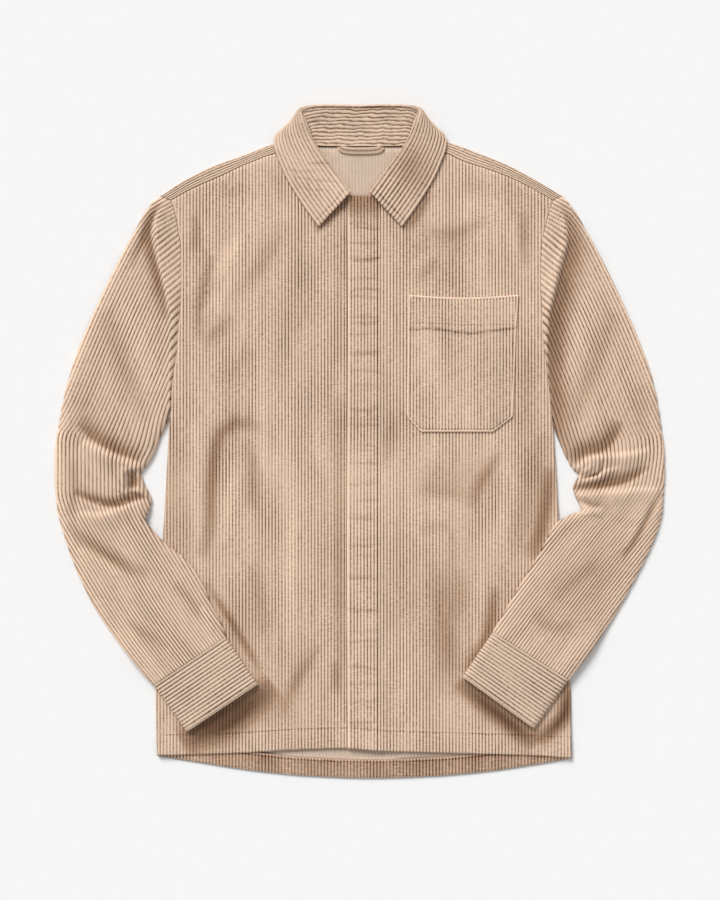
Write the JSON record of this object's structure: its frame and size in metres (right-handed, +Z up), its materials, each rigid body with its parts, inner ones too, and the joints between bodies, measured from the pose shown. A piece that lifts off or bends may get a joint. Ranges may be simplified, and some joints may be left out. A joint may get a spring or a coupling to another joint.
{
  "type": "shacket",
  "caption": "Corduroy shirt jacket laid flat, front up, with a turned-down collar, hidden front fastening, one chest pocket and bent long sleeves resting on the fronts",
  "frame": {"origin": "on the surface the jacket lies on, under the middle of its outline", "axes": "+Z up from the surface, +Y from the hem to the collar, +X towards the wearer's left sleeve"},
  "size_m": [0.7612, 0.8401, 0.0174],
  "materials": {
    "cord": "matt cotton corduroy with wide wales, beige",
    "inside": "plain wrong side of the corduroy, matt, paler beige"
  },
  "bodies": {
    "root": {"back_panel": "inside", "front_right": "cord", "front_left": "cord", "placket": "cord", "pocket": "cord", "shoulder_yoke_right": "cord", "shoulder_yoke_left": "cord", "collar_stand": "cord", "collar_leaf": "cord", "hanger_loop": "inside", "sleeve_right": "cord", "sleeve_left": "cord", "cuff_right": "cord", "cuff_left": "cord"}
  },
  "joints": []
}
